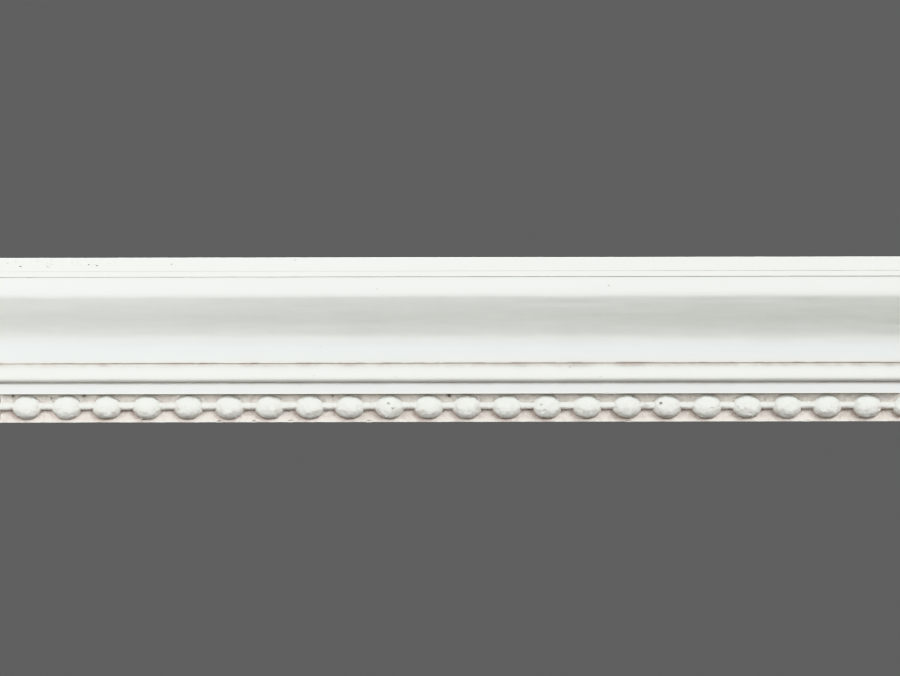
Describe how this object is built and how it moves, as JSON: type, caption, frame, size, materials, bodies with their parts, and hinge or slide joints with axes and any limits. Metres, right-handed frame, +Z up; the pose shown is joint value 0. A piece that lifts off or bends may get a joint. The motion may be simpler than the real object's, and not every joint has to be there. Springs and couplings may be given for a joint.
{
  "type": "beaded panel moulding",
  "caption": "Straight length of cast plaster wall moulding: flat fillets over a falling ogee, a torus, a flat band and a row of oval beads on a string above a thin lip. Flat back.",
  "frame": {"origin": "middle of the flat back, which lies on the wall", "axes": "+X along the moulding's length, +Y out of the flat back into the wall, -Y out of the moulded face into the room, +Z up, from the beads towards the fillets"},
  "size_m": [0.36, 0.0244, 0.0654],
  "materials": {
    "plaster": "matt white cast plaster, unpainted, faintly chalky, with warm grey dust in the deepest hollows"
  },
  "bodies": {
    "root": {"beaded_panel_moulding": "plaster"}
  },
  "joints": []
}
